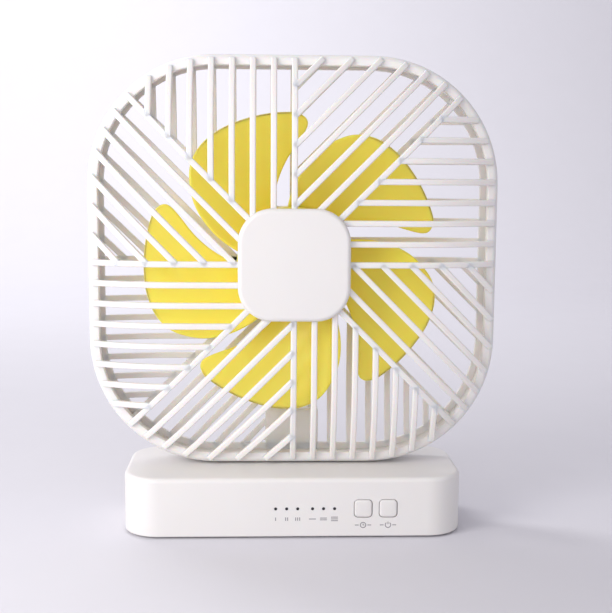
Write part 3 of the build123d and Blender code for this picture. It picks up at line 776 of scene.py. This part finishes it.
def metal(name, colour, rough, grain, stretch=(1, 1, 1), drift=0.8):
    """Bare or plated metal: tool lines or crystal mottling in its colour, roughness and relief."""
    material, tree, output, place = shader(name)
    stains = add(tree, "ShaderNodeTexNoise", {"Scale": 1 / METAL_STAIN, "Detail": 3.0}, [(place, "Vector")])
    tint = add(tree, "ShaderNodeValToRGB", links=[(stains.outputs["Fac"], "Fac")])
    set_ramp(tint, shade(colour, drift), colour)
    lines = add(tree, "ShaderNodeMapping", {"Scale": stretch}, [(place, "Vector")])
    marks = add(
        tree, "ShaderNodeTexNoise", {"Scale": 1 / grain, "Detail": 5.0, "Roughness": 0.65},
        [(lines.outputs["Vector"], "Vector")],
    )
    gloss = add(
        tree, "ShaderNodeMapRange", {"To Min": rough - 0.08, "To Max": rough + 0.12},
        [(marks.outputs["Fac"], "Value")],
    )
    relief = add(
        tree, "ShaderNodeBump", {"Strength": 0.3, "Distance": 0.02 * MM}, [(marks.outputs["Fac"], "Height")]
    )
    surface = add(
        tree, "ShaderNodeBsdfPrincipled", {"Metallic": 1.0},
        [(tint.outputs["Color"], "Base Color"), (gloss.outputs["Result"], "Roughness"),
         (relief.outputs["Normal"], "Normal")],
    )
    tree.links.new(surface.outputs["BSDF"], output.inputs["Surface"])
    return material


def finish(name):
    """The named finish, made once."""
    return bpy.data.materials.get(name) or FINISHES[name]()


def casing_abs():
    # Injection-moulded ABS from a lightly spark-eroded tool: a soft satin white with a hint of warmth.
    # The real 0.1 mm grain is drawn at 0.35 mm so that it shows.
    return moulded("casing_abs", bpy.context.scene.fan_colours.casing, 1.54, 0.42, 0.35 * MM, 0.012 * MM,
                   subsurface=0.08)


def grille_abs():
    # The same ABS from a polished tool: the ribs catch a slightly tighter highlight than the casing.
    return moulded("grille_abs", bpy.context.scene.fan_colours.grille, 1.54, 0.36, 0.5 * MM, 0.008 * MM,
                   subsurface=0.35)


def key_abs():
    # Fine-textured ABS keys, smoother than the shell round them.
    return moulded("key_abs", shade(bpy.context.scene.fan_colours.casing, 0.99), 1.54, 0.34, 0.3 * MM,
                   0.006 * MM, subsurface=0.05)


def blade_pp():
    # Dyed polypropylene, gloss moulded: lemon yellow that lets some light through and glows orange in shade.
    return moulded("blade_pp", bpy.context.scene.fan_colours.blades, 1.49, 0.38, 0.6 * MM, 0.01 * MM,
                   drift=0.96, subsurface=0.7, coat=0.1)


def pad_print():
    # Pad-printed ink: flat mid grey, slightly uneven where the ink thins.
    return moulded("pad_print", bpy.context.scene.fan_colours.print_ink, 1.48, 0.55, 0.25 * MM, 0.004 * MM,
                   drift=0.9)


def nylon_black():
    # Glass-filled nylon: near black with a dry, slightly speckled face.
    return moulded("nylon_black", linear("1E1E20"), 1.53, 0.5, 0.4 * MM, 0.02 * MM, drift=0.8)


def smoked_acrylic():
    # Tinted acrylic light pipe: reads as a small dark glossy dot when unlit.
    return moulded("smoked_acrylic", linear("38363A"), 1.49, 0.16, 0.5 * MM, 0.002 * MM, drift=0.85)


def soldermask():
    # Screened green soldermask over the weave of glass epoxy.
    return moulded("soldermask", linear("14512D"), 1.55, 0.3, 0.45 * MM, 0.015 * MM, drift=0.75, coat=0.3)


def foot_rubber():
    # Moulded silicone rubber: soft grey with no clear highlight.
    return moulded("foot_rubber", linear("57575A"), 1.41, 0.75, 0.5 * MM, 0.03 * MM, drift=0.9)


def pvc_sheath():
    # Extruded PVC over the motor lead: slightly waxy white.
    return moulded("pvc_sheath", linear("DEDBD8"), 1.53, 0.45, 0.6 * MM, 0.01 * MM, drift=0.94)


def cell_sleeve():
    # Heat-shrunk PET sleeve: thin blue film with a tight gloss and small wrinkles.
    return moulded("cell_sleeve", linear("2F63A0"), 1.57, 0.22, 1.2 * MM, 0.03 * MM, drift=0.88, coat=0.4)


def phosphor():
    # Pale yellow phosphor under clear resin.
    return moulded("phosphor", linear("E8DFA6"), 1.5, 0.25, 0.3 * MM, 0.01 * MM, drift=0.9, coat=0.5)


def ferrite():
    # Sintered ferrite: dull charcoal ceramic with a coarse grain.
    return moulded("ferrite", linear("333335"), 1.9, 0.6, 0.3 * MM, 0.04 * MM, drift=0.8)


def pressed_carbon():
    # Pressed carbon: matt black with a faint graphite sheen.
    return moulded("pressed_carbon", linear("151516"), 1.8, 0.65, 0.25 * MM, 0.03 * MM, drift=0.75)


def zinc_steel():
    # Zinc-plated mild steel: cool grey with a fine crystal mottle.
    return metal("zinc_steel", linear("B9BBBE"), 0.34, 0.5 * MM)


def ground_steel():
    # Centreless-ground steel: bright, with fine rings round the bar.
    return metal("ground_steel", linear("D0D1D3"), 0.2, 0.4 * MM, (1, 6, 1), 0.9)


def wound_copper():
    # Enamelled copper wire and bronze: warm orange metal, drawn with lines a wire's width apart.
    return metal("wound_copper", linear("C9713C"), 0.3, 0.35 * MM, (1, 4, 1), 0.75)


def nickel_strip():
    # Rolled nickel: pale warm metal with rolling lines.
    return metal("nickel_strip", linear("C8C3B8"), 0.28, 0.4 * MM, (1, 5, 5), 0.85)


FINISHES = {
    make.__name__: make
    for make in (
        casing_abs, grille_abs, key_abs, blade_pp, pad_print, nylon_black, smoked_acrylic, soldermask,
        foot_rubber, pvc_sheath, cell_sleeve, phosphor, ferrite, pressed_carbon, zinc_steel,
        ground_steel, wound_copper, nickel_strip,
    )
}
SLOT_FINISH = {
    "casing_plastic": "casing_abs",
    "grille_plastic": "grille_abs",
    "key_plastic": "key_abs",
    "blade_plastic": "blade_pp",
    "dark_plastic": "nylon_black",
    "light_pipe": "smoked_acrylic",
    "board": "soldermask",
    "steel": "zinc_steel",
    "shaft_steel": "ground_steel",
    "copper": "wound_copper",
    "magnet": "ferrite",
    "carbon": "pressed_carbon",
    "cell_sleeve": "cell_sleeve",
    "nickel": "nickel_strip",
    "foot_rubber": "foot_rubber",
    "lead_sheath": "pvc_sheath",
    "led": "phosphor",
}


class DESKFAN_OT_finishes(bpy.types.Operator):
    """Give every kept frame piece the finish of its material slot"""

    bl_idname = "deskfan.finishes"
    bl_label = "Finishes"

    def execute(self, context):
        for row in frame["record"]["subparts"]:
            mesh = frame["nodes"][row["node"]].data
            mesh.materials.clear()
            mesh.materials.append(finish(SLOT_FINISH[row["material_slot"]]))
        return {"FINISHED"}


# ---- Camera and stage ----
CAMERA_PLACE = Vector((-15.8, -530.5, 46.0)) * MM  # from the hub
CAMERA_PITCH = 7.13  # degrees down
CAMERA_YAW = 2.34  # degrees towards the right
CAMERA_ROLL = 0.43
LENS_RATIO = 1.769  # focal length over the picture's width
# Softboxes: place and size across, in metres from the middle of the floor
KEY_BOX = (Vector((-0.48, -0.38, 0.3)), 0.4)
FILL_BOX = (Vector((0, -1.1, 0.45)), 0.8)
WASH_BOX = (Vector((-0.6, 0.7, 1.3)), 0.8)
WASH_AIM = Vector((0, 1.7, 0.45))  # point of the backdrop that the wash is turned to


class DESKFAN_OT_camera(bpy.types.Operator):
    """Camera a little above and left of the hub, looking slightly down"""

    bl_idname = "deskfan.camera"
    bl_label = "Camera"

    def execute(self, context):
        data = bpy.data.cameras.new("product_camera")
        data.sensor_fit = "HORIZONTAL"
        data.sensor_width = 36.0
        data.lens = data.sensor_width * LENS_RATIO
        data.clip_start, data.clip_end = 0.01, 20.0
        camera = bpy.data.objects.new("product_camera", data)
        camera.location = HUB + CAMERA_PLACE
        pitch, yaw = math.radians(CAMERA_PITCH), math.radians(CAMERA_YAW)
        aim = Vector((math.sin(yaw) * math.cos(pitch), math.cos(yaw) * math.cos(pitch), -math.sin(pitch)))
        camera.rotation_mode = "QUATERNION"
        roll = Quaternion((0, 0, 1), math.radians(CAMERA_ROLL))
        camera.rotation_quaternion = aim.to_track_quat("-Z", "Y") @ roll
        context.scene.collection.objects.link(camera)
        context.scene.camera = camera
        return {"FINISHED"}


def area_light(name, place, size, target, power, colour):
    """Round softbox turned to a point."""
    data = bpy.data.lights.new(name, "AREA")
    data.shape = "DISK"
    data.size = size
    data.energy = power
    data.color = colour
    light = bpy.data.objects.new(name, data)
    light.location = place
    light.rotation_mode = "QUATERNION"
    light.rotation_quaternion = (target - place).to_track_quat("-Z", "Y")
    bpy.context.scene.collection.objects.link(light)


class DESKFAN_OT_stage(bpy.types.Operator):
    """Pale floor that sweeps up far behind, key from the left, frontal fill and a wash on the backdrop"""

    bl_idname = "deskfan.stage"
    bl_label = "Stage"

    def execute(self, context):
        look = context.scene.fan_stage
        bm = bmesh.new()
        wide, near, bend, radius, tall = 4.0, -3.0, 1.0, 0.8, 3.0
        profile = [(near, 0.0)]
        bend_steps = 16
        for k in range(bend_steps + 1):
            turn = math.pi / 2 * k / bend_steps
            profile.append((bend + radius * math.sin(turn), radius - radius * math.cos(turn)))
        profile.append((bend + radius, tall))
        rows = [[bm.verts.new((x, y, z)) for x in (-wide, wide)] for y, z in profile]
        for row, following in zip(rows, rows[1:]):
            bm.faces.new((row[0], row[1], following[1], following[0]))
        for face in bm.faces:
            face.smooth = True
        mesh = bpy.data.meshes.new("floor_sweep")
        bm.to_mesh(mesh)
        bm.free()
        mesh.materials.append(self.paper(look.floor))
        floor = bpy.data.objects.new("floor_sweep", mesh)
        context.scene.collection.objects.link(floor)

        middle = Vector((0, 0, HUB.z))
        area_light("key_softbox", *KEY_BOX, middle, look.key_power, (1, 0.99, 0.975))
        area_light("fill_softbox", *FILL_BOX, middle, look.fill_power, (1, 0.98, 0.96))
        area_light("backdrop_wash", *WASH_BOX, WASH_AIM, look.wash_power, (1, 1, 1))
        world = bpy.data.worlds.new("room")
        world.use_nodes = True
        sky = world.node_tree.nodes["Background"]
        sky.inputs["Color"].default_value = (*linear("F4F3FA"), 1)
        sky.inputs["Strength"].default_value = look.sky
        context.scene.world = world
        context.scene.view_settings.view_transform = "Standard"
        return {"FINISHED"}

    def paper(self, colour):
        # Seamless background paper: pale, matt, with a barely visible fibre mottle
        return moulded("seamless_paper", colour, 1.5, 0.85, 2.0 * MM, 0.02 * MM, drift=0.99)


class DESKFAN_PT_panel(bpy.types.Panel):
    """Lists the fan's sizes, colours and build steps"""

    bl_idname = "DESKFAN_PT_panel"
    bl_label = "Desk fan"
    bl_space_type = "VIEW_3D"
    bl_region_type = "UI"
    bl_category = "Desk fan"

    def draw(self, context):
        column = self.layout.column()
        for group in (context.scene.fan_sizes, context.scene.fan_colours, context.scene.fan_stage):
            for key in group.__annotations__:
                column.prop(group, key)
        for step in STEPS:
            column.operator(step.bl_idname)


STEPS = (
    DESKFAN_OT_camera,
    DESKFAN_OT_front_grille,
    DESKFAN_OT_rear_grille,
    DESKFAN_OT_fan_blades,
    DESKFAN_OT_keys,
    DESKFAN_OT_printed_marks,
    DESKFAN_OT_finishes,
    DESKFAN_OT_stage,
)
GROUPS = {"fan_sizes": FanSizes, "fan_colours": FanColours, "fan_stage": StageLook}


def register():
    for group in GROUPS.values():
        bpy.utils.register_class(group)
    for name, group in GROUPS.items():
        setattr(bpy.types.Scene, name, PointerProperty(type=group))
    for item in (*STEPS, DESKFAN_PT_panel):
        bpy.utils.register_class(item)


def unregister():
    for item in (DESKFAN_PT_panel, *reversed(STEPS)):
        bpy.utils.unregister_class(item)
    for name, group in GROUPS.items():
        delattr(bpy.types.Scene, name)
        bpy.utils.unregister_class(group)


def main():
    register()
    for step in STEPS:
        group, name = step.bl_idname.split(".")
        getattr(getattr(bpy.ops, group), name)()


if __name__ == "__main__":
    main()
